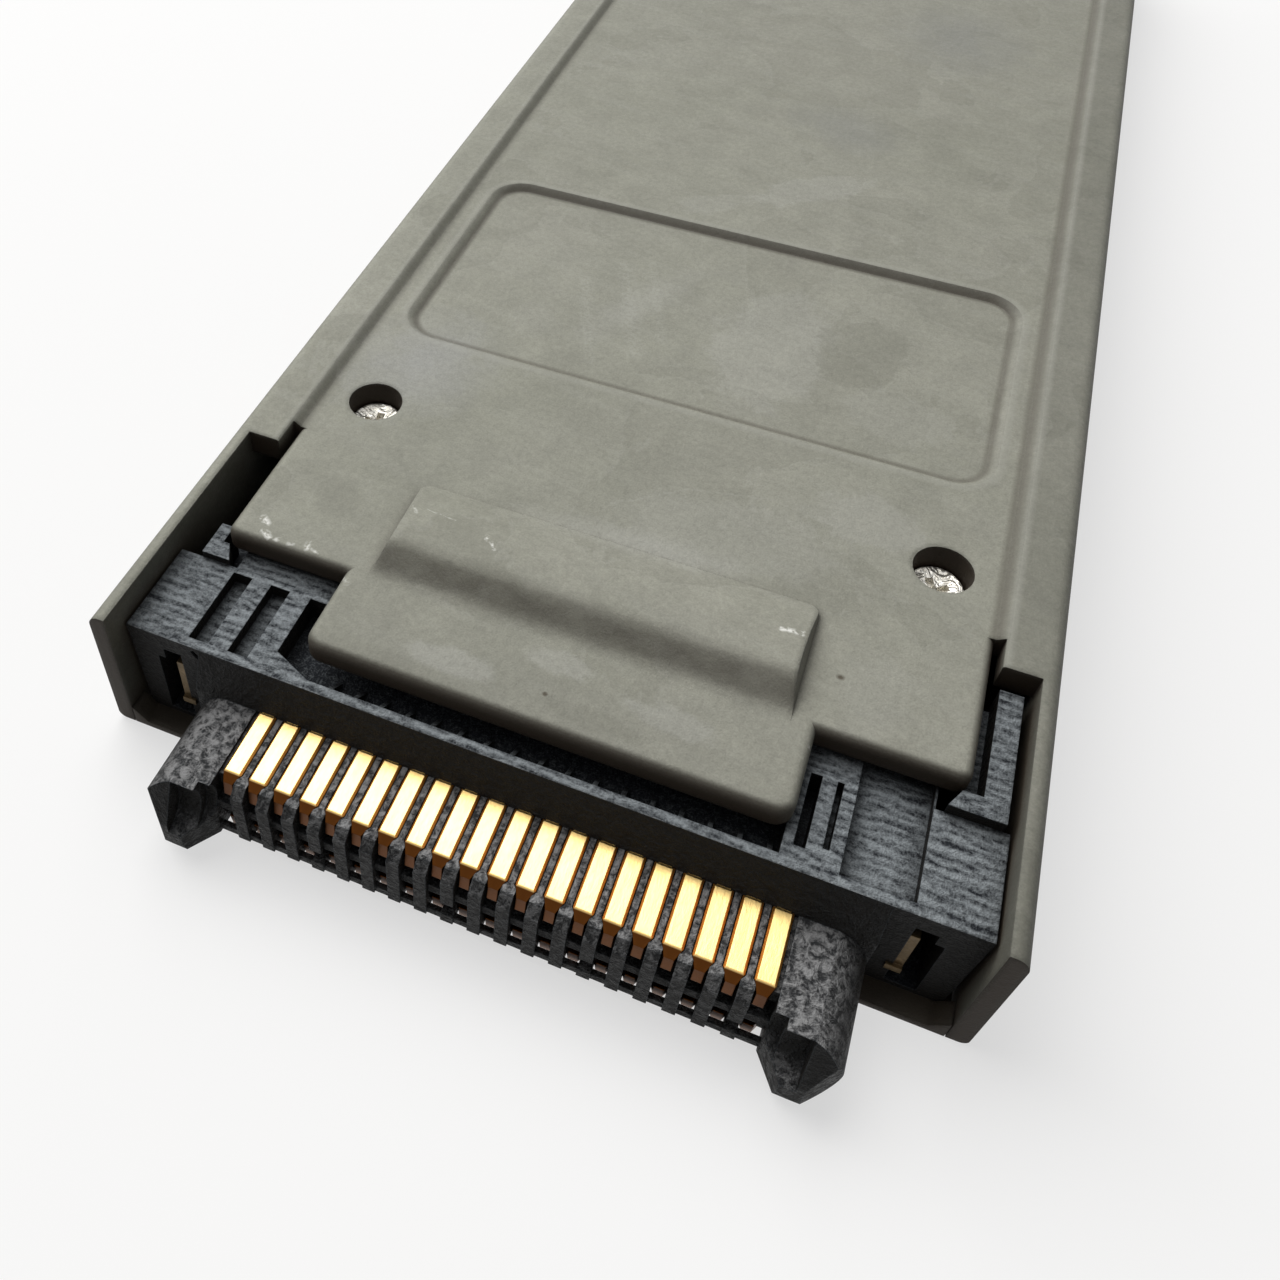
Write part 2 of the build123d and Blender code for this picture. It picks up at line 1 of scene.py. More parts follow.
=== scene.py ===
import json
import math

import bmesh
import bpy
from mathutils import Matrix, Vector


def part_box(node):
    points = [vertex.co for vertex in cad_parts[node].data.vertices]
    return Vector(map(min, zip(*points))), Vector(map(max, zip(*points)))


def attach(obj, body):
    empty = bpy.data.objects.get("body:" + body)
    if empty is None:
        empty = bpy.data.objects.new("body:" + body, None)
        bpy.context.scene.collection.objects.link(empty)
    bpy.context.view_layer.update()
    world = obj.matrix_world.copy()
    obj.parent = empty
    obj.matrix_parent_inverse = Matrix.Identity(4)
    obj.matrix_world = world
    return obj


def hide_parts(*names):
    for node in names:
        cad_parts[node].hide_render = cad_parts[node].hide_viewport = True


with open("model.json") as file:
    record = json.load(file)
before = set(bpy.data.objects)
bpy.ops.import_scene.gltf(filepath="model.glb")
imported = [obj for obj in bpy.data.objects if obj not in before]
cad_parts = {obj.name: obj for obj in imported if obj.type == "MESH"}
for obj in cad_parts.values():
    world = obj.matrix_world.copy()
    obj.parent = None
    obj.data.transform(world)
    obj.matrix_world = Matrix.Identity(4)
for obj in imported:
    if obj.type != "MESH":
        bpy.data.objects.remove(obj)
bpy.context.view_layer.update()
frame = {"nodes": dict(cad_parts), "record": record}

PER_MILLIMETRE = 1000.0
MM = 0.001
# A reach in millimetres that is far longer than the part, so that a direction doesn't count.
FLAT = 1000.0
VECTOR, FLOAT = "NodeSocketVector", "NodeSocketFloat"


# Helpers that build shader trees

def plug_in(tree, socket, term):
    """Joins a socket to another, or sets it to a number, a triple or a colour."""
    if isinstance(term, bpy.types.NodeSocket):
        tree.links.new(term, socket)
    elif socket.type == "RGBA" and isinstance(term, tuple):
        socket.default_value = (*term, 1.0)
    else:
        socket.default_value = term


def add_node(tree, kind, settings=None, **values):
    """A shader node with its settings and the terms of its named inputs."""
    node = tree.nodes.new(kind)
    for name, value in (settings or {}).items():
        setattr(node, name, value)
    for name, term in values.items():
        plug_in(tree, node.inputs[name.replace("_", " ")], term)
    return node


def arithmetic(tree, operation, *terms, clamp=False):
    """A math node; each term is a socket or a number."""
    node = add_node(tree, "ShaderNodeMath", {"operation": operation, "use_clamp": clamp})
    for socket, term in zip(node.inputs, terms):
        plug_in(tree, socket, term)
    return node.outputs[0]


def with_vectors(tree, operation, *terms, result="Vector"):
    """A vector math node; each term is a socket or a triple."""
    node = add_node(tree, "ShaderNodeVectorMath", {"operation": operation})
    for socket, term in zip(node.inputs, terms):
        plug_in(tree, socket, term)
    return node.outputs[result]


def blend_colours(tree, factor, below, above, way="MIX"):
    """A colour mix; each colour is a socket or a triple."""
    node = add_node(tree, "ShaderNodeMix", {"data_type": "RGBA", "blend_type": way})
    for socket, term in ((node.inputs[0], factor), (node.inputs[6], below), (node.inputs[7], above)):
        plug_in(tree, socket, term)
    return node.outputs[2]


def shade(tree, colour, factor):
    """A colour made darker or lighter by a factor that changes over the surface."""
    return blend_colours(tree, 1.0, colour, factor, "MULTIPLY")


def part_of(tree, mask, share):
    """A mask at a share of its strength; the share may be a mask as well."""
    return arithmetic(tree, "MULTIPLY", mask, share)


def lay_on(tree, colour, mask, share, laid):
    """A colour with another laid on it where a mask says, at a share of the mask's strength."""
    return blend_colours(tree, part_of(tree, mask, share), colour, laid)


def stretch(tree, value, low, high, bottom=0.0, top=1.0):
    """Maps a value from one range to another, held at its ends; each number may be a socket."""
    node = add_node(tree, "ShaderNodeMapRange")
    for socket, term in zip(node.inputs[0:5], (value, low, high, bottom, top)):
        plug_in(tree, socket, term)
    return node.outputs[0]


def noise_of(tree, place, scale, detail=2.0, roughness=0.5, distortion=0.0):
    """Noise texture read at a place in millimetres, with so many cells to the millimetre."""
    node = add_node(
        tree, "ShaderNodeTexNoise",
        Vector=place, Scale=scale, Detail=detail, Roughness=roughness, Distortion=distortion,
    )
    return node.outputs["Fac"]


def turned_place(tree, place, scale, turn=0.0):
    """A place turned about the upright axis by degrees, and drawn out along its own axes."""
    node = add_node(tree, "ShaderNodeMapping", {"vector_type": "TEXTURE"}, Vector=place)
    node.inputs["Rotation"].default_value = (0.0, 0.0, math.radians(turn))
    node.inputs["Scale"].default_value = scale
    return node.outputs[0]


def new_group(name, inputs, outputs):
    """A shader node group with named sockets; returns the tree, its input node and its output node."""
    tree = bpy.data.node_groups.new(name, "ShaderNodeTree")
    for label, kind, default in inputs:
        socket = tree.interface.new_socket(name=label, in_out="INPUT", socket_type=kind)
        if default is not None:
            socket.default_value = default
    for label, kind in outputs:
        tree.interface.new_socket(name=label, in_out="OUTPUT", socket_type=kind)
    return tree, tree.nodes.new("NodeGroupInput"), tree.nodes.new("NodeGroupOutput")


def use_group(tree, group, **inputs):
    """A group placed in a tree; each input is a socket or a value."""
    node = tree.nodes.new("ShaderNodeGroup")
    node.node_tree = group
    for name, term in inputs.items():
        plug_in(tree, node.inputs[name], term)
    return node


# Effects that the finishes share

def build_grain_group():
    """Fine cast or moulded grain: a mask from 0 to 1 and the same as a height."""
    tree, start, end = new_group(
        "fine grain",
        [("Place", VECTOR, None), ("Scale", FLOAT, 8.0), ("Softness", FLOAT, 0.5)],
        [("Mask", FLOAT), ("Height", FLOAT)],
    )
    place, scale = start.outputs["Place"], start.outputs["Scale"]
    coarse = noise_of(tree, place, scale, 3.0, 0.6)
    fine = noise_of(tree, place, arithmetic(tree, "MULTIPLY", scale, 3.1), 2.0, 0.6)
    mixed = arithmetic(tree, "MULTIPLY_ADD", fine, 0.5, part_of(tree, coarse, 0.5))
    plug_in(tree, end.inputs["Height"], mixed)
    spread = part_of(tree, start.outputs["Softness"], 0.3)
    low = arithmetic(tree, "SUBTRACT", 0.5, spread)
    high = arithmetic(tree, "ADD", 0.5, spread)
    plug_in(tree, end.inputs["Mask"], stretch(tree, mixed, low, high))
    return tree


def build_stain_group():
    """Dried stains: soft patches with a crisp outline on some sides."""
    tree, start, end = new_group(
        "dried stains",
        [("Place", VECTOR, None), ("Scale", FLOAT, 0.08), ("Cover", FLOAT, 0.5)],
        [("Patch", FLOAT), ("Outline", FLOAT)],
    )
    shape = noise_of(tree, start.outputs["Place"], start.outputs["Scale"], 5.0, 0.55, 0.6)
    distance = arithmetic(tree, "SUBTRACT", shape, start.outputs["Cover"])
    patch = stretch(tree, distance, -0.01, 0.012)
    fade = stretch(tree, distance, 0.0, 0.13, 1.0, 0.25)
    plug_in(tree, end.inputs["Patch"], arithmetic(tree, "MULTIPLY", patch, fade))
    near = stretch(tree, arithmetic(tree, "ABSOLUTE", distance), 0.0, 0.009, 1.0, 0.0)
    plug_in(tree, end.inputs["Outline"], near)
    return tree


def build_patch_group():
    """A patch at a set place, with a ragged edge: its mask, and a mask of its outline."""
    tree, start, end = new_group(
        "placed patch",
        [
            ("Place", VECTOR, None), ("Centre", VECTOR, None), ("Reach", VECTOR, (1.0, 1.0, FLAT)),
            ("Turn", FLOAT, 0.0), ("Wobble", FLOAT, 0.0), ("Softness", FLOAT, 0.3),
        ],
        [("Patch", FLOAT), ("Outline", FLOAT)],
    )
    offset = with_vectors(tree, "SUBTRACT", start.outputs["Place"], start.outputs["Centre"])
    turned = add_node(
        tree, "ShaderNodeVectorRotate", {"rotation_type": "Z_AXIS"},
        Vector=offset, Angle=start.outputs["Turn"],
    )
    share = with_vectors(tree, "DIVIDE", turned.outputs[0], start.outputs["Reach"])
    ragged = arithmetic(
        tree, "ADD", with_vectors(tree, "LENGTH", share, result="Value"), start.outputs["Wobble"]
    )
    inner = arithmetic(tree, "SUBTRACT", 1.0, start.outputs["Softness"])
    plug_in(tree, end.inputs["Patch"], stretch(tree, ragged, inner, 1.0, 1.0, 0.0))
    distance = arithmetic(tree, "ABSOLUTE", arithmetic(tree, "SUBTRACT", ragged, 1.0))
    plug_in(tree, end.inputs["Outline"], stretch(tree, distance, 0.0, 0.07, 1.0, 0.0))
    return tree


def build_scuff_group():
    """A scratch or scuff from one place to another, broken up along its way."""
    tree, start, end = new_group(
        "scuff",
        [
            ("Place", VECTOR, None), ("Start", VECTOR, None), ("Along", VECTOR, None),
            ("Width", FLOAT, 0.2), ("Breaks", FLOAT, 1.0),
        ],
        [("Mask", FLOAT)],
    )
    along = start.outputs["Along"]
    offset = with_vectors(tree, "SUBTRACT", start.outputs["Place"], start.outputs["Start"])
    offset = with_vectors(tree, "MULTIPLY", offset, (1.0, 1.0, 0.0))
    reach = with_vectors(tree, "DOT_PRODUCT", offset, along, result="Value")
    length = with_vectors(tree, "DOT_PRODUCT", along, along, result="Value")
    share = arithmetic(tree, "DIVIDE", reach, length, clamp=True)
    foot = add_node(tree, "ShaderNodeVectorMath", {"operation": "SCALE"}, Scale=share)
    plug_in(tree, foot.inputs[0], along)
    distance = with_vectors(tree, "DISTANCE", offset, foot.outputs[0], result="Value")
    core = part_of(tree, start.outputs["Width"], 0.25)
    line = stretch(tree, distance, core, start.outputs["Width"], 1.0, 0.0)
    plug_in(tree, end.inputs["Mask"], arithmetic(tree, "MULTIPLY", line, start.outputs["Breaks"]))
    return tree


def build_edge_group():
    """Normals rounded near the edges, and a mask of those edges."""
    tree, start, end = new_group(
        "soft edges", [("Radius", FLOAT, 0.0002)], [("Normal", VECTOR), ("Mask", FLOAT)]
    )
    bevel = add_node(tree, "ShaderNodeBevel", {"samples": 3}, Radius=start.outputs["Radius"])
    true_normal = tree.nodes.new("ShaderNodeNewGeometry").outputs["Normal"]
    alike = with_vectors(tree, "DOT_PRODUCT", bevel.outputs["Normal"], true_normal, result="Value")
    plug_in(tree, end.inputs["Normal"], bevel.outputs["Normal"])
    plug_in(tree, end.inputs["Mask"], stretch(tree, alike, 0.8, 1.0, 1.0, 0.0))
    return tree


def build_facing_group():
    """How level a surface is, from 0 on walls to 1, how far it faces up, and how far towards the plug end."""
    tree, start, end = new_group(
        "level faces", [("Low", FLOAT, 0.5), ("High", FLOAT, 0.95)],
        [("Level", FLOAT), ("Upward", FLOAT), ("Plugward", FLOAT)],
    )
    true_normal = tree.nodes.new("ShaderNodeNewGeometry").outputs["Normal"]
    facing = add_node(tree, "ShaderNodeSeparateXYZ", Vector=true_normal)
    upward = facing.outputs["Z"]
    plug_in(tree, end.inputs["Plugward"], arithmetic(tree, "MULTIPLY", facing.outputs["Y"], -1.0))
    either = arithmetic(tree, "ABSOLUTE", upward)
    low, high = start.outputs["Low"], start.outputs["High"]
    plug_in(tree, end.inputs["Level"], stretch(tree, either, low, high))
    plug_in(tree, end.inputs["Upward"], stretch(tree, upward, low, high))
    return tree


def build_sheltered_shade_group():
    """Mask of sheltered places, where shade is painted."""
    tree, start, end = new_group(
        "sheltered places", [("Reach", FLOAT, 0.001), ("Onset", FLOAT, 0.95)], [("Mask", FLOAT)]
    )
    sheltered_shade = add_node(
        tree, "ShaderNodeAmbientOcclusion", {"samples": 4}, Distance=start.outputs["Reach"]
    )
    mask = stretch(tree, sheltered_shade.outputs["AO"], 0.3, start.outputs["Onset"], 1.0, 0.0)
    plug_in(tree, end.inputs["Mask"], mask)
    return tree


GRAIN = build_grain_group()
STAIN = build_stain_group()
PATCH = build_patch_group()
SCUFF = build_scuff_group()
EDGE = build_edge_group()
FACING = build_facing_group()
SHELTERED_SHADE = build_sheltered_shade_group()


# Finishes

def new_finish(name, **shader_values):
    """A material with one Principled shader: returns it, its tree, the shader and a place in millimetres."""
    material = bpy.data.materials.new(name)
    material.use_nodes = True
    tree = material.node_tree
    tree.nodes.clear()
    output = tree.nodes.new("ShaderNodeOutputMaterial")
    shader = add_node(tree, "ShaderNodeBsdfPrincipled", **shader_values)
    tree.links.new(shader.outputs[0], output.inputs[0])
    where = tree.nodes.new("ShaderNodeTexCoord")
    scaled = add_node(tree, "ShaderNodeVectorMath", {"operation": "SCALE"}, Scale=PER_MILLIMETRE)
    tree.links.new(where.outputs["Object"], scaled.inputs[0])
    return material, tree, shader, scaled.outputs[0]


def add_relief(tree, shader, height, depth, normal):
    """Bump of a depth in metres over normals that are already rounded at the edges."""
    bump = add_node(tree, "ShaderNodeBump", Strength=1.0, Distance=depth, Height=height, Normal=normal)
    plug_in(tree, shader.inputs["Normal"], bump.outputs["Normal"])


DARK_STAIN = (0.200, 0.200, 0.162)
PALE_STAIN = (0.400, 0.400, 0.360)
WIPED_PALE = (0.335, 0.340, 0.335)
CLOUD = (0.215, 0.220, 0.205)
BROWN_SPOT = (0.050, 0.035, 0.015)
# Colours of painted shade on the case: on its front faces and in sheltered places, at the foot of its steps,
# and in its screw holes.
CASE_SHADE = (0.035, 0.026, 0.018)
STEP_SHADE = (0.085, 0.076, 0.058)
HOLE_SHADE = (0.022, 0.017, 0.012)
SCUFF_WHITE = (0.80, 0.80, 0.76)

# Marks on the case: centre, half width and half length in millimetres, turn in degrees, how ragged the
# edge is, how soft it is, the colour laid on, its strength, and the strength of a crisp pale outline.
CASE_PATCHES = [
    ((-14.0, -29.8), (4.5, 6.0), 20, 0.5, 0.9, WIPED_PALE, 0.60, 0.0),
    ((3.6, -20.5), (3.4, 5.6), 8, 0.8, 0.16, PALE_STAIN, 0.35, 0.25),
    ((8.4, -18.9), (2.6, 3.4), 12, 0.8, 0.16, DARK_STAIN, 0.42, 0.15),
    ((11.0, -23.5), (3.0, 2.2), 0, 0.8, 0.18, PALE_STAIN, 0.22, 0.15),
    ((2.3, -4.0), (5.2, 1.5), -37, 0.9, 0.22, PALE_STAIN, 0.35, 0.15),
    ((-3.4, -8.2), (2.6, 1.2), -30, 0.9, 0.30, PALE_STAIN, 0.24, 0.0),
    ((3.35, 4.7), (5.0, 3.4), 20, 0.6, 0.7, CLOUD, 0.42, 0.0),
    ((8.7, 21.3), (6.0, 6.5), -10, 0.6, 0.8, CLOUD, 0.50, 0.0),
    ((-4.5, -19.6), (1.6, 6.2), 28, 0.5, 0.8, PALE_STAIN, 0.35, 0.0),
    ((-13.6, -41.0), (1.5, 1.9), 0, 0.7, 0.5, DARK_STAIN, 0.45, 0.25),
    ((-9.9, -23.5), (1.3, 1.6), 0, 0.4, 0.3, PALE_STAIN, 0.10, 0.30),
    ((11.2, -31.85), (3.0, 1.8), 8, 0.8, 0.18, PALE_STAIN, 0.38, 0.20),
    ((5.0, -35.7), (5.8, 2.6), -4, 0.5, 0.20, PALE_STAIN, 0.24, 0.15),
    ((1.0, -37.9), (6.5, 1.2), -2, 0.6, 0.8, PALE_STAIN, 0.58, 0.0),
    ((-4.65, -47.9), (2.4, 0.9), -4, 0.8, 0.35, PALE_STAIN, 0.58, 0.15),
    ((-0.1, -46.1), (1.7, 0.8), 0, 0.9, 0.30, PALE_STAIN, 0.48, 0.10),
    ((5.6, -47.1), (2.2, 0.8), 3, 0.9, 0.30, PALE_STAIN, 0.48, 0.10),
    ((-7.5, -49.0), (3.4, 0.8), -2, 0.8, 0.6, DARK_STAIN, 0.38, 0.0),
    ((2.2, -48.4), (2.6, 0.7), 3, 0.9, 0.4, DARK_STAIN, 0.42, 0.10),
    ((13.2, -42.5), (2.0, 3.2), 6, 0.7, 0.6, PALE_STAIN, 0.22, 0.0),
    ((-0.1, -47.9), (0.16, 0.16), 0, 0.1, 0.6, BROWN_SPOT, 0.85, 0.0),
    ((11.7, -41.9), (0.24, 0.18), 0, 0.2, 0.7, BROWN_SPOT, 0.85, 0.0),
]

# White scuffs and scratches on the case: start, run and width in millimetres, and strength.
CASE_SCUFFS = [
    ((-16.50, -43.55), (0.30, -0.25), 0.26, 1.0),
    ((-16.05, -44.35), (0.40, -0.20), 0.20, 0.9),
    ((-15.35, -44.55), (0.25, 0.05), 0.14, 0.7),
    ((-14.60, -44.60), (0.20, 0.05), 0.14, 0.6),
    ((-13.70, -44.10), (0.10, -0.45), 0.18, 0.8),
    ((-13.30, -44.50), (0.30, -0.05), 0.15, 0.7),
    ((-9.70, -40.55), (0.25, -0.30), 0.12, 0.45),
    ((-5.65, -40.90), (0.10, -0.30), 0.14, 0.8),
    ((-5.25, -41.30), (0.20, -0.35), 0.15, 0.8),
    ((8.75, -40.85), (0.85, 0.10), 0.22, 1.0),
    ((-9.06, -40.36), (1.60, -0.14), 0.05, 0.35),
    ((-11.30, -45.30), (0.50, -0.40), 0.18, 0.35),
    ((11.20, -45.90), (0.90, -0.25), 0.16, 0.45),
    ((13.60, -45.60), (1.20, -0.30), 0.20, 0.40),
    ((-1.00, -35.90), (3.40, 2.60), 0.12, 0.07),
    ((2.40, -33.30), (4.10, 0.90), 0.12, 0.06),
    ((6.50, -32.40), (3.20, -0.60), 0.10, 0.05),
    ((-8.20, -18.50), (2.60, -7.00), 0.55, 0.06),
    ((-6.40, -16.20), (3.00, -7.60), 0.70, 0.07),
    ((-4.90, -15.40), (2.60, -6.80), 0.45, 0.05),
]


def lay_patches(tree, place, colour, patches):
    """Patches laid over a colour one after the other; returns the colour and the sum of their masks."""
    wobble = arithmetic(tree, "SUBTRACT", noise_of(tree, place, 0.50, 6.0, 0.68, 0.5), 0.5)
    total = 0.0
    for centre, reach, turn, ragged, softness, laid, strength, outline in patches:
        mark = use_group(
            tree, PATCH, Place=place, Centre=(*centre, 0.0), Reach=(*reach, FLAT),
            Turn=math.radians(turn), Wobble=part_of(tree, wobble, 2.0 * ragged), Softness=softness,
        )
        patch = part_of(tree, mark.outputs["Patch"], strength)
        colour = blend_colours(tree, patch, colour, laid)
        total = arithmetic(tree, "ADD", patch, total)
        if outline:
            colour = lay_on(tree, colour, mark.outputs["Outline"], 0.5 * outline, PALE_STAIN)
    return colour, total


def lay_scuffs(tree, place, colour, scuffs, laid):
    """Scuffs laid over a colour; returns the colour and the strongest of their masks."""
    shift = add_node(tree, "ShaderNodeTexNoise", Vector=place, Scale=2.0, Detail=2.0)
    drift = with_vectors(tree, "SUBTRACT", shift.outputs["Color"], (0.5, 0.5, 0.5))
    drifted = with_vectors(tree, "MULTIPLY_ADD", drift, (0.35, 0.35, 0.35), place)
    breaks = stretch(tree, noise_of(tree, place, 4.5, 2.0, 0.6), 0.40, 0.58)
    strongest = 0.0
    for start, along, width, strength in scuffs:
        mark = use_group(
            tree, SCUFF, Place=drifted, Start=(*start, 0.0), Along=(*along, 0.0), Width=width, Breaks=breaks
        )
        strongest = arithmetic(tree, "MAXIMUM", part_of(tree, mark.outputs["Mask"], strength), strongest)
    return blend_colours(tree, strongest, colour, laid), strongest


# Places in millimetres: the label recess (middle, half sides without the corners, corner radius), the
# foot and the rim of the step beside each rail, and the screw holes.
LABEL_MIDDLE = (0.0, -19.075, 0.0)
LABEL_STRAIGHT = (14.45, 6.35, FLAT)
LABEL_CORNER = 2.2
RAIL_FOOT, RAIL_RIM = 17.85, 18.42
SCREW_PLACES = ((-15.04, -33.675), (15.04, -33.675), (-15.04, 49.675), (15.04, 49.675))
HOLE_REACH = 1.65


def band(tree, value, middle, half):
    """Mask of the values near a middle one, which fades out at a half width."""
    distance = arithmetic(tree, "ABSOLUTE", arithmetic(tree, "SUBTRACT", value, middle))
    return stretch(tree, distance, 0.3 * half, half, 1.0, 0.0)


def shade_and_light_steps(tree, place, axes, breaks, colour):
    """Painted shade along the foot of the low steps around the label and the rails, and a painted highlight
    along their rims.
    """
    offset = with_vectors(tree, "SUBTRACT", place, LABEL_MIDDLE)
    beyond = with_vectors(tree, "SUBTRACT", with_vectors(tree, "ABSOLUTE", offset), LABEL_STRAIGHT)
    beyond = with_vectors(tree, "MAXIMUM", beyond, (0.0, 0.0, 0.0))
    outside = with_vectors(tree, "LENGTH", beyond, result="Value")
    outside = arithmetic(tree, "SUBTRACT", outside, LABEL_CORNER)
    side = arithmetic(tree, "ABSOLUTE", axes.outputs["X"])
    shaded = stretch(tree, axes.outputs["X"], -10.0, 10.0, 0.45, 1.0)
    high = part_of(tree, stretch(tree, axes.outputs["Z"], 7.2, 7.4), breaks)
    rail_foot_shade = part_of(tree, band(tree, side, RAIL_FOOT, 0.42), shaded)
    foot = arithmetic(tree, "MAXIMUM", band(tree, outside, -0.50, 0.30), rail_foot_shade)
    rim = arithmetic(tree, "MAXIMUM", band(tree, outside, 0.16, 0.36), band(tree, side, RAIL_RIM, 0.28))
    # Painted shade at the foot of the steps, and a painted highlight on their rims.
    colour = lay_on(tree, colour, part_of(tree, foot, high), 0.55, STEP_SHADE)
    return lay_on(tree, colour, part_of(tree, rim, high), 0.26, PALE_STAIN)


def shade_holes(tree, place, level, colour):
    """Painted shade on the walls of the screw holes."""
    hole = 0.0
    for centre in SCREW_PLACES:
        mark = use_group(
            tree, PATCH, Place=place, Centre=(*centre, 0.0), Reach=(HOLE_REACH, HOLE_REACH, FLAT),
            Softness=0.05,
        )
        hole = arithmetic(tree, "ADD", mark.outputs["Patch"], hole)
    walls = part_of(tree, hole, arithmetic(tree, "SUBTRACT", 1.0, level))
    return lay_on(tree, colour, walls, 0.88, HOLE_SHADE)


# Painted light falloff over the case, as how dark it is along an axis: from and to in millimetres, and the
# factors there.
CASE_LIGHT_FALLOFF = [
    ("X", -20.0, 17.0, 0.98, 0.95),
    ("X", 17.7, 18.5, 1.0, 0.76),
    ("Y", -50.5, -44.0, 0.86, 1.0),
    ("Y", -25.0, 45.0, 1.0, 0.84),
]


def case_finish():
    """Matt grey-olive cast metal with a fine grain, dried stains and smears; painted shade darkens its walls,
    front faces, steps and sheltered edges.
    """
    material, tree, shader, place = new_finish("case_metal", Metallic=0.0, Specular_IOR_Level=0.22)
    grain = use_group(tree, GRAIN, Place=place, Scale=3.2, Softness=0.7)
    stain = use_group(tree, STAIN, Place=place, Scale=0.10, Cover=0.56)
    edge = use_group(tree, EDGE, Radius=0.42 * MM)
    sheltered_shade = use_group(tree, SHELTERED_SHADE, Reach=0.6 * MM, Onset=0.97)
    hollow_shade = use_group(tree, SHELTERED_SHADE, Reach=3.2 * MM, Onset=0.8)
    cloud = stretch(tree, noise_of(tree, place, 0.06, 4.0, 0.55), 0.35, 0.65)
    colour = blend_colours(tree, cloud, (0.285, 0.287, 0.238), (0.325, 0.324, 0.275))
    mottle = stretch(tree, noise_of(tree, place, 0.45, 4.0, 0.6, 0.3), 0.3, 0.7, 0.90, 1.09)
    colour = shade(tree, colour, mottle)
    wiped = turned_place(tree, place, (9.0, 0.9, 9.0), turn=-14.0)
    wipes = stretch(tree, noise_of(tree, wiped, 1.0, 3.0, 0.55), 0.45, 0.75, 0.0, 0.16)
    colour = blend_colours(tree, wipes, colour, PALE_STAIN)
    colour = lay_on(tree, colour, stain.outputs["Patch"], 0.26, DARK_STAIN)
    colour = lay_on(tree, colour, stain.outputs["Outline"], 0.18, PALE_STAIN)
    colour, patches = lay_patches(tree, place, colour, CASE_PATCHES)
    axes = add_node(tree, "ShaderNodeSeparateXYZ", Vector=place)
    for axis, low, high, bottom, top in CASE_LIGHT_FALLOFF:
        colour = shade(tree, colour, stretch(tree, axes.outputs[axis], low, high, bottom, top))
    colour = shade(tree, colour, stretch(tree, grain.outputs["Mask"], 0.0, 1.0, 0.80, 1.16))
    facing = use_group(tree, FACING, Low=0.60, High=0.97)
    # Painted shade: walls darker than level faces.
    colour = shade(tree, colour, stretch(tree, facing.outputs["Level"], 0.0, 1.0, 0.62, 1.0))
    colour = shade_and_light_steps(tree, place, axes, mottle, colour)
    colour = shade_holes(tree, place, facing.outputs["Level"], colour)
    # Painted shade on the faces and slopes that face the plug end.
    plugward = facing.outputs["Plugward"]
    slope_shade = stretch(tree, plugward, 0.10, 0.60, 0.0, 0.76)
    front_shade = arithmetic(tree, "ADD", slope_shade, stretch(tree, plugward, 0.7, 0.95, 0.0, 0.22))
    colour = blend_colours(tree, front_shade, colour, CASE_SHADE)
    colour, scuffs = lay_scuffs(tree, place, colour, CASE_SCUFFS, SCUFF_WHITE)
    wear = part_of(tree, edge.outputs["Mask"], grain.outputs["Mask"])
    colour = lay_on(tree, colour, wear, 0.22, PALE_STAIN)
    # Painted shade in sheltered places and in wider hollows.
    colour = lay_on(tree, colour, sheltered_shade.outputs["Mask"], 0.80, CASE_SHADE)
    colour = lay_on(tree, colour, hollow_shade.outputs["Mask"], 0.90, CASE_SHADE)
    # Painted shadow low down at the front of the case, in front of the plug body.
    lip_shadow = part_of(
        tree, stretch(tree, axes.outputs["Z"], 1.0, 2.4, 1.0, 0.0),
        stretch(tree, axes.outputs["Y"], -50.6, -48.6, 1.0, 0.0),
    )
    colour = lay_on(tree, colour, lip_shadow, 0.85, CASE_SHADE)
    plug_in(tree, shader.inputs["Base Color"], colour)
    roughness = stretch(tree, arithmetic(tree, "ADD", patches, scuffs), 0.0, 1.0, 0.60, 0.42)
    plug_in(tree, shader.inputs["Roughness"], roughness)
    add_relief(tree, shader, grain.outputs["Height"], 0.035 * MM, edge.outputs["Normal"])
    return material


# Where the plug's nose ends and its body starts, and where the body's tops start, in millimetres.
NOSE_END, BODY_START = -51.3, -51.1
TOPS_FROM, TOPS_FULL = 5.6, 5.9


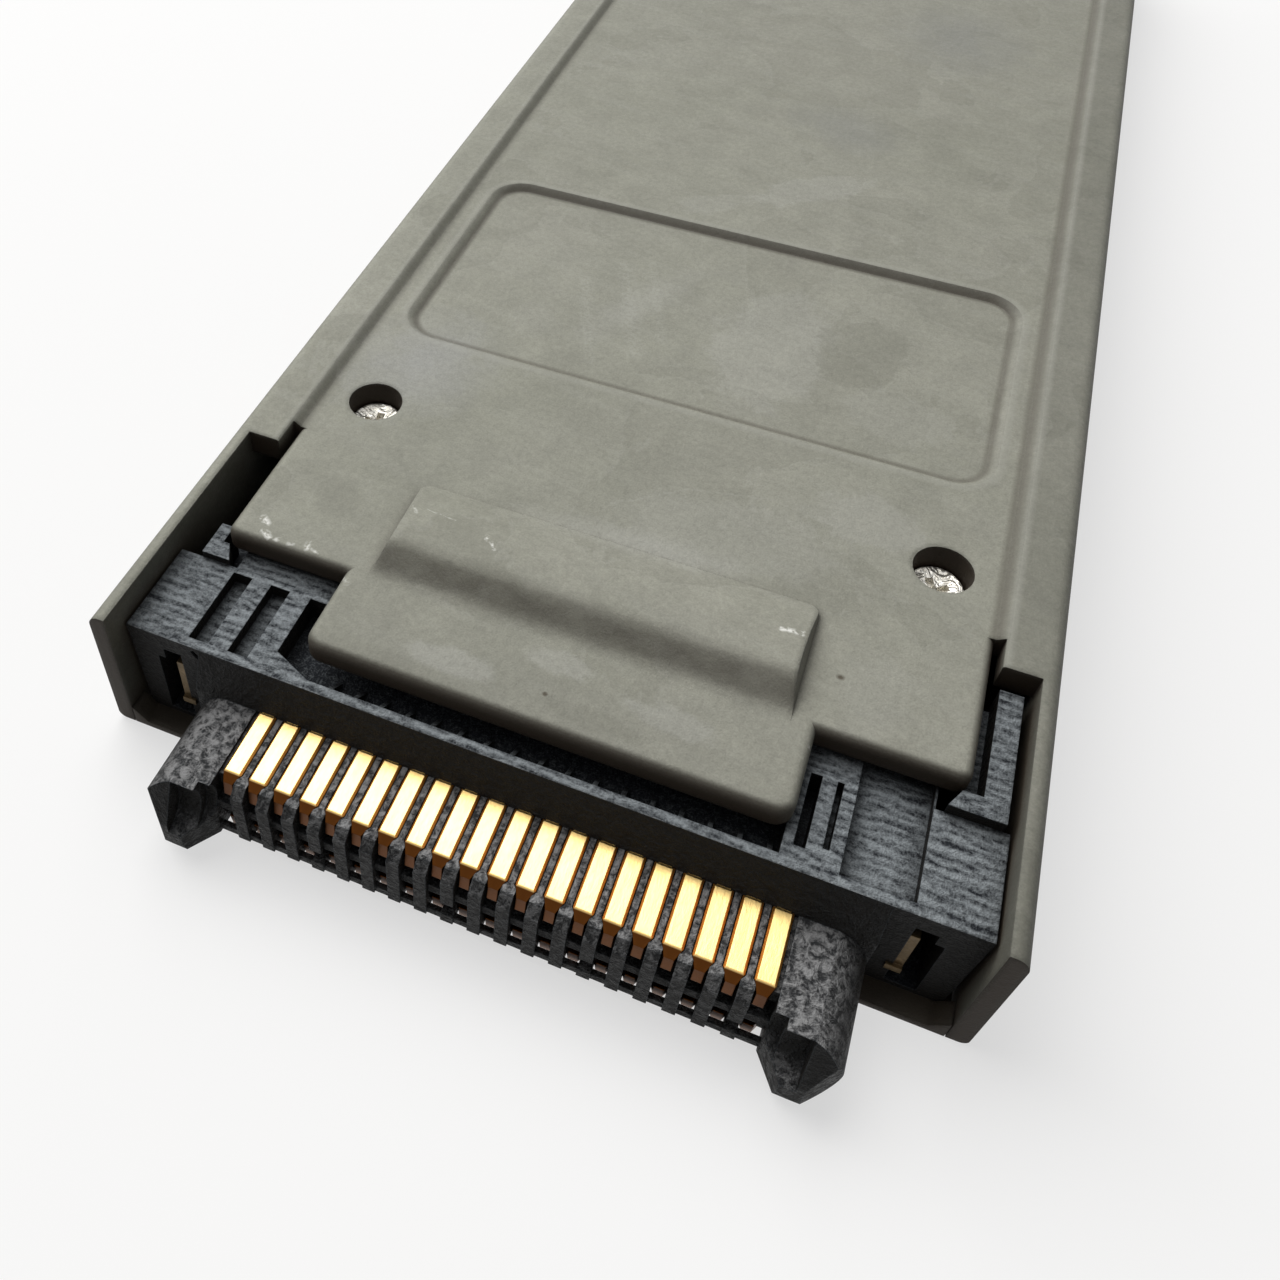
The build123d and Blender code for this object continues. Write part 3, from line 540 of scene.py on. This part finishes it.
def plastic_finish():
    """Black glass-filled plastic with wavy flow ridges on its tops, a rough nose and pale worn edges; a
    painted sheen makes its tops a lit blue-grey, and painted shade darkens its sheltered places.
    """
    material, tree, shader, place = new_finish(
        "black_plastic", Metallic=0.0, Specular_IOR_Level=0.14, Specular_Tint=(0.78, 0.90, 1.0)
    )
    grain = use_group(tree, GRAIN, Place=place, Scale=3.4, Softness=0.55)
    edge = use_group(tree, EDGE, Radius=0.09 * MM)
    sheltered_shade = use_group(tree, SHELTERED_SHADE, Reach=1.2 * MM)
    ridges = add_node(
        tree, "ShaderNodeTexWave", {"wave_type": "BANDS", "bands_direction": "Y"},
        Vector=place, Scale=0.62, Distortion=7.0, Detail=3.0, Detail_Scale=1.1, Detail_Roughness=0.62,
    ).outputs["Fac"]
    axes = add_node(tree, "ShaderNodeSeparateXYZ", Vector=place)
    on_body = part_of(
        tree, stretch(tree, axes.outputs["Y"], NOSE_END, BODY_START),
        stretch(tree, axes.outputs["Z"], TOPS_FROM, TOPS_FULL),
    )
    ridges = part_of(tree, ridges, on_body)
    drawn = turned_place(tree, place, (2.4, 0.55, 1.0))
    streaks = stretch(tree, noise_of(tree, drawn, 1.5, 3.0, 0.6, 0.5), 0.35, 0.65)
    streaks = part_of(tree, streaks, part_of(tree, on_body, 0.6))
    ridges = arithmetic(tree, "MULTIPLY_ADD", ridges, 0.4, streaks)
    nose = stretch(tree, axes.outputs["Y"], NOSE_END, BODY_START, 1.0, 0.0)
    speckle = stretch(tree, noise_of(tree, place, 2.6, 3.0, 0.65, 0.4), 0.40, 0.62)
    ridges = part_of(tree, ridges, 0.6)
    pattern = arithmetic(tree, "MULTIPLY_ADD", speckle, part_of(tree, nose, 0.6), ridges)
    lit = arithmetic(tree, "MULTIPLY_ADD", grain.outputs["Mask"], 0.45, pattern)
    lit = stretch(tree, lit, 0.20, 0.78)
    walls = blend_colours(tree, grain.outputs["Mask"], (0.005, 0.004, 0.003), (0.018, 0.016, 0.014))
    # Painted sheen: tops much lighter and bluer than the walls, as where they catch the light.
    body_sheen_tops = blend_colours(tree, lit, (0.012, 0.013, 0.016), (0.275, 0.300, 0.318))
    nose_sheen_tops = blend_colours(tree, lit, (0.025, 0.025, 0.026), (0.290, 0.290, 0.294))
    sheen_tops = blend_colours(tree, nose, body_sheen_tops, nose_sheen_tops)
    level = use_group(tree, FACING, Low=0.5, High=0.95)
    colour = blend_colours(tree, level.outputs["Upward"], walls, sheen_tops)
    colour = lay_on(tree, colour, edge.outputs["Mask"], 0.42, (0.15, 0.17, 0.19))
    # Painted shade in sheltered places.
    colour = lay_on(tree, colour, sheltered_shade.outputs["Mask"], 0.80, (0.004, 0.003, 0.002))
    plug_in(tree, shader.inputs["Base Color"], colour)
    plug_in(tree, shader.inputs["Roughness"], stretch(tree, lit, 0.1, 0.9, 0.60, 0.42))
    height = arithmetic(tree, "MULTIPLY_ADD", pattern, 0.6, grain.outputs["Height"])
    add_relief(tree, shader, height, 0.15 * MM, edge.outputs["Normal"])
    return material


# Where the bevelled tips of the contacts start, in millimetres.
TIP_START = -55.2


def gold_finish():
    """Gold plate over stamped contacts, with painted shade: deeper in colour on the bevels, dark on the tips
    and in the sheltered places.
    """
    material, tree, shader, place = new_finish("contact_gold", Metallic=1.0)
    drawn = turned_place(tree, place, (0.35, 1.6, 1.0))
    grain = use_group(tree, GRAIN, Place=drawn, Scale=1.6, Softness=1.0)
    edge = use_group(tree, EDGE, Radius=0.05 * MM)
    sheltered_shade = use_group(tree, SHELTERED_SHADE, Reach=0.7 * MM)
    colour = blend_colours(tree, grain.outputs["Mask"], (0.72, 0.51, 0.19), (0.84, 0.63, 0.27))
    # Painted shade: bevels deeper orange than the flat tops.
    bevel_shade = use_group(tree, FACING, Low=0.72, High=0.95)
    colour = blend_colours(tree, bevel_shade.outputs["Level"], (0.58, 0.27, 0.06), colour)
    along = add_node(tree, "ShaderNodeSeparateXYZ", Vector=place).outputs["Y"]
    # Painted shade on the bevelled tips.
    tip_shade = stretch(tree, along, TIP_START - 0.08, TIP_START, 1.0, 0.0)
    colour = blend_colours(tree, tip_shade, colour, (0.065, 0.022, 0.005))
    # Painted shade in sheltered places.
    colour = lay_on(tree, colour, sheltered_shade.outputs["Mask"], 0.85, (0.16, 0.055, 0.01))
    plug_in(tree, shader.inputs["Base Color"], colour)
    roughness = stretch(tree, grain.outputs["Mask"], 0.0, 1.0, 0.38, 0.27)
    plug_in(tree, shader.inputs["Roughness"], roughness)
    add_relief(tree, shader, grain.outputs["Height"], 0.012 * MM, edge.outputs["Normal"])
    return material


def metal_finish(name, dark, light, rough, dents, metallic, shade_share):
    """Plated metal with a faint grain, shallow dents and, at a share, painted brown shade in sheltered
    places.
    """
    material, tree, shader, place = new_finish(name, Metallic=metallic)
    grain = use_group(tree, GRAIN, Place=place, Scale=1.5, Softness=0.8)
    edge = use_group(tree, EDGE, Radius=0.05 * MM)
    sheltered_shade = use_group(tree, SHELTERED_SHADE, Reach=0.8 * MM, Onset=0.8)
    colour = blend_colours(tree, grain.outputs["Mask"], dark, light)
    # Painted shade in sheltered places.
    colour = lay_on(tree, colour, sheltered_shade.outputs["Mask"], shade_share, (0.06, 0.045, 0.03))
    plug_in(tree, shader.inputs["Base Color"], colour)
    roughness = stretch(tree, grain.outputs["Mask"], 0.0, 1.0, rough + 0.1, rough)
    plug_in(tree, shader.inputs["Roughness"], roughness)
    folds = noise_of(tree, place, 0.9, 3.0, 0.55, 1.4)
    height = arithmetic(tree, "MULTIPLY_ADD", folds, dents, part_of(tree, grain.outputs["Height"], 0.3))
    add_relief(tree, shader, height, 0.10 * MM, edge.outputs["Normal"])
    return material


def inner_finish(name, dark, light, rough, scale):
    """Finish of a piece inside the closed case, with its own fine grain."""
    material, tree, shader, place = new_finish(name, Metallic=0.0)
    grain = use_group(tree, GRAIN, Place=place, Scale=scale, Softness=0.8)
    edge = use_group(tree, EDGE, Radius=0.08 * MM)
    colour = blend_colours(tree, grain.outputs["Mask"], dark, light)
    plug_in(tree, shader.inputs["Base Color"], colour)
    roughness = stretch(tree, grain.outputs["Mask"], 0.0, 1.0, rough, rough - 0.12)
    plug_in(tree, shader.inputs["Roughness"], roughness)
    add_relief(tree, shader, grain.outputs["Height"], 0.02 * MM, edge.outputs["Normal"])
    return material


finishes = {
    "case_metal": case_finish(),
    "black_plastic": plastic_finish(),
    "contact_gold": gold_finish(),
    "strip_brass": metal_finish(
        "strip_brass", (0.06, 0.045, 0.025), (0.17, 0.12, 0.065),
        rough=0.38, dents=0.4, metallic=1.0, shade_share=0.8,
    ),
    "screw_nickel": metal_finish(
        "screw_nickel", (0.84, 0.79, 0.66), (1.0, 0.99, 0.96),
        rough=0.30, dents=3.2, metallic=0.7, shade_share=0.0,
    ),
}

# Pieces inside the case: dark and light colour, roughness, and cells of grain to the millimetre.
for name, dark, light, rough, scale in (
    ("board_green", (0.010, 0.055, 0.022), (0.016, 0.080, 0.032), 0.42, 1.5),
    ("chip_black", (0.012, 0.012, 0.013), (0.028, 0.028, 0.030), 0.60, 6.0),
    ("pad_grey", (0.20, 0.22, 0.25), (0.28, 0.30, 0.33), 0.80, 3.0),
    ("ferrite_grey", (0.06, 0.06, 0.065), (0.10, 0.10, 0.105), 0.65, 5.0),
    ("capacitor_amber", (0.42, 0.21, 0.03), (0.52, 0.28, 0.05), 0.50, 4.0),
):
    finishes[name] = inner_finish(name, dark, light, rough, scale)

for entry in frame["record"]["subparts"]:
    mesh = frame["nodes"][entry["node"]].data
    mesh.materials.clear()
    mesh.materials.append(finishes[entry["material_slot"]])


# Screws

HEAD_RADIUS = 1.35 * MM
HEAD_HEIGHT = 0.75 * MM
HEAD_DISH = 0.45 * MM
RIM_ROUND = 0.12 * MM
HEAD_SIDES = 48
SHANK_RADIUS = 0.8 * MM
SHANK_SIDES = 32
RECESS_REACH = 0.72 * MM
RECESS_HALF = 0.2 * MM
RECESS_DEPTH = 0.42 * MM
CUT_TOLERANCE = 1e-8
LEVEL_TOLERANCE = 1e-7
# Each head stands at its own angle: one in degrees, and a change of it with the place in metres.
FIRST_TURN = 17.0
TURN_WITH_PLACE = 900.0


def cut_across(mesh, axis, distance):
    """Cuts every face of a mesh by an upright plane at a distance along an axis."""
    mesh_parts = mesh.verts[:] + mesh.edges[:] + mesh.faces[:]
    bmesh.ops.bisect_plane(
        mesh, geom=mesh_parts, dist=CUT_TOLERANCE, plane_co=Vector(axis) * distance, plane_no=Vector(axis)
    )


def screw_head(mesh):
    """Round dished head with a softened rim and a cross recess, standing on the plane of its seat."""
    bmesh.ops.create_cone(
        mesh, cap_ends=True, segments=HEAD_SIDES, radius1=HEAD_RADIUS, radius2=HEAD_RADIUS,
        depth=HEAD_HEIGHT, matrix=Matrix.Translation((0, 0, HEAD_HEIGHT / 2)),
    )
    top = max(mesh.faces, key=lambda face: face.calc_center_median().z)
    bmesh.ops.poke(mesh, faces=[top], offset=-HEAD_DISH)
    for axis in ((1, 0, 0), (0, 1, 0)):
        for distance in (-RECESS_REACH, -RECESS_HALF, RECESS_HALF, RECESS_REACH):
            cut_across(mesh, axis, distance)
    recess = []
    for face in mesh.faces:
        middle = face.calc_center_median()
        long_way, short_way = max(abs(middle.x), abs(middle.y)), min(abs(middle.x), abs(middle.y))
        if face.normal.z > 0.5 and long_way < RECESS_REACH and short_way < RECESS_HALF:
            recess.append(face)
    floor = bmesh.ops.extrude_face_region(mesh, geom=recess)["geom"]
    bmesh.ops.delete(mesh, geom=recess, context="FACES_ONLY")
    floor_points = [item for item in floor if isinstance(item, bmesh.types.BMVert)]
    bmesh.ops.translate(mesh, vec=(0, 0, -RECESS_DEPTH), verts=floor_points)
    rim = []
    for edge in mesh.edges:
        ends = [point.co for point in edge.verts]
        at_top = all(abs(end.z - HEAD_HEIGHT) < LEVEL_TOLERANCE for end in ends)
        if at_top and all(end.xy.length > 0.98 * HEAD_RADIUS for end in ends):
            rim.append(edge)
    bmesh.ops.bevel(
        mesh, geom=rim, offset=RIM_ROUND, segments=3, profile=0.5, affect="EDGES", material=-1
    )


def build_screws():
    """All the case screws, each with its head and its shank, in the places of the solid ones."""
    low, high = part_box("case_screws")
    shank_length = high[2] - low[2] - HEAD_HEIGHT
    mesh = bmesh.new()
    for x in (low[0] + HEAD_RADIUS, high[0] - HEAD_RADIUS):
        for y in (low[1] + HEAD_RADIUS, high[1] - HEAD_RADIUS):
            screw = bmesh.new()
            screw_head(screw)
            bmesh.ops.create_cone(
                screw, cap_ends=True, segments=SHANK_SIDES, radius1=SHANK_RADIUS, radius2=SHANK_RADIUS,
                depth=shank_length, matrix=Matrix.Translation((0, 0, -shank_length / 2)),
            )
            turn = Matrix.Rotation(math.radians(FIRST_TURN + TURN_WITH_PLACE * x), 4, "Z")
            bmesh.ops.transform(screw, matrix=turn, verts=screw.verts)
            bmesh.ops.translate(screw, vec=(x, y, low[2] + shank_length), verts=screw.verts)
            bmesh.ops.recalc_face_normals(screw, faces=screw.faces)
            data = bpy.data.meshes.new("one_screw")
            screw.to_mesh(data)
            screw.free()
            mesh.from_mesh(data)
            bpy.data.meshes.remove(data)
    data = bpy.data.meshes.new("screws_with_cross_recess")
    mesh.to_mesh(data)
    mesh.free()
    data.materials.append(finishes["screw_nickel"])
    screws = bpy.data.objects.new("screws_with_cross_recess", data)
    bpy.context.scene.collection.objects.link(screws)
    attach(screws, "root")
    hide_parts("case_screws")


build_screws()


# Floor, lights and camera

WHITE_WHERE_SEEN = 1.0
WORLD_LIGHT = 0.08
FLOOR_SIDE = 3.0
FLOOR_PAINT = 0.36
# How brightly the floor glows near the part and far away, and the distances in metres between these.
FLOOR_GLOW, FLOOR_GLOW_FAR = 0.62, 0.96
GLOW_NEAR, GLOW_FAR = 0.12, 0.70
# The plug end of the part, which both lamps face.
LAMP_TARGET = Vector((0.0, -30 * MM, 4 * MM))


def seen_directly(tree):
    """Mask of the rays by which the camera, or a mirror or glass on the part, sees a surface."""
    path = tree.nodes.new("ShaderNodeLightPath")
    seen = arithmetic(tree, "MAXIMUM", path.outputs["Is Camera Ray"], path.outputs["Is Glossy Ray"])
    return arithmetic(tree, "MAXIMUM", seen, path.outputs["Is Transmission Ray"])


def pale_floor():
    """Wide pale floor just under the part, which keeps its shadow."""
    bpy.ops.mesh.primitive_plane_add(size=FLOOR_SIDE, location=(0, 0, -0.02 * MM))
    floor = bpy.context.object
    floor.name = "floor"
    material = bpy.data.materials.new("pale_floor")
    material.use_nodes = True
    tree = material.node_tree
    tree.nodes.clear()
    output = tree.nodes.new("ShaderNodeOutputMaterial")
    paint = add_node(tree, "ShaderNodeBsdfDiffuse", Color=(FLOOR_PAINT,) * 3)
    where = tree.nodes.new("ShaderNodeTexCoord").outputs["Object"]
    away = with_vectors(tree, "LENGTH", where, result="Value")
    strength = stretch(tree, away, GLOW_NEAR, GLOW_FAR, FLOOR_GLOW, FLOOR_GLOW_FAR)
    strength = arithmetic(tree, "MULTIPLY", seen_directly(tree), strength)
    glow = add_node(tree, "ShaderNodeEmission", Strength=strength)
    both = tree.nodes.new("ShaderNodeAddShader")
    tree.links.new(paint.outputs[0], both.inputs[0])
    tree.links.new(glow.outputs[0], both.inputs[1])
    tree.links.new(both.outputs[0], output.inputs[0])
    floor.data.materials.append(material)


def soft_lamp(name, place, size, power, colour):
    """Square lamp that faces the plug end of the part."""
    data = bpy.data.lights.new(name, "AREA")
    data.shape = "SQUARE"
    data.size = size
    data.energy = power
    data.color = colour
    lamp = bpy.data.objects.new(name, data)
    lamp.location = place
    away = lamp.location - LAMP_TARGET
    lamp.rotation_euler = away.to_track_quat("Z", "Y").to_euler()
    bpy.context.scene.collection.objects.link(lamp)


def white_world():
    """World that is white where it is seen or mirrored and dim where it lights."""
    world = bpy.data.worlds.new("studio")
    bpy.context.scene.world = world
    world.use_nodes = True
    tree = world.node_tree
    tree.nodes.clear()
    output = tree.nodes.new("ShaderNodeOutputWorld")
    strength = stretch(tree, seen_directly(tree), 0.0, 1.0, WORLD_LIGHT, WHITE_WHERE_SEEN)
    sky = add_node(tree, "ShaderNodeBackground", Color=(1.0, 1.0, 1.0), Strength=strength)
    tree.links.new(sky.outputs[0], output.inputs[0])


def photo_camera():
    """Camera at the photograph's place, with the frame shifted as the photograph is cropped."""
    data = bpy.data.cameras.new("camera")
    data.sensor_width = 36.0
    data.lens = 34.90
    data.shift_x = 0.14525
    data.shift_y = -0.10275
    data.clip_start = MM
    data.clip_end = 20.0
    camera = bpy.data.objects.new("camera", data)
    camera.location = (7.971 * MM, -78.074 * MM, 53.419 * MM)
    camera.rotation_euler = (math.radians(42.6577), math.radians(-0.3807), math.radians(22.8743))
    bpy.context.scene.collection.objects.link(camera)
    bpy.context.scene.camera = camera


pale_floor()
soft_lamp("key_lamp", (-0.420, 0.306, 0.600), size=0.9, power=9.8, colour=(1.0, 0.99, 0.97))
soft_lamp("fill_lamp", (0.35, -0.25, 0.5), size=0.5, power=0.12, colour=(0.97, 0.98, 1.0))
white_world()
photo_camera()
bpy.context.scene.view_settings.view_transform = "Standard"
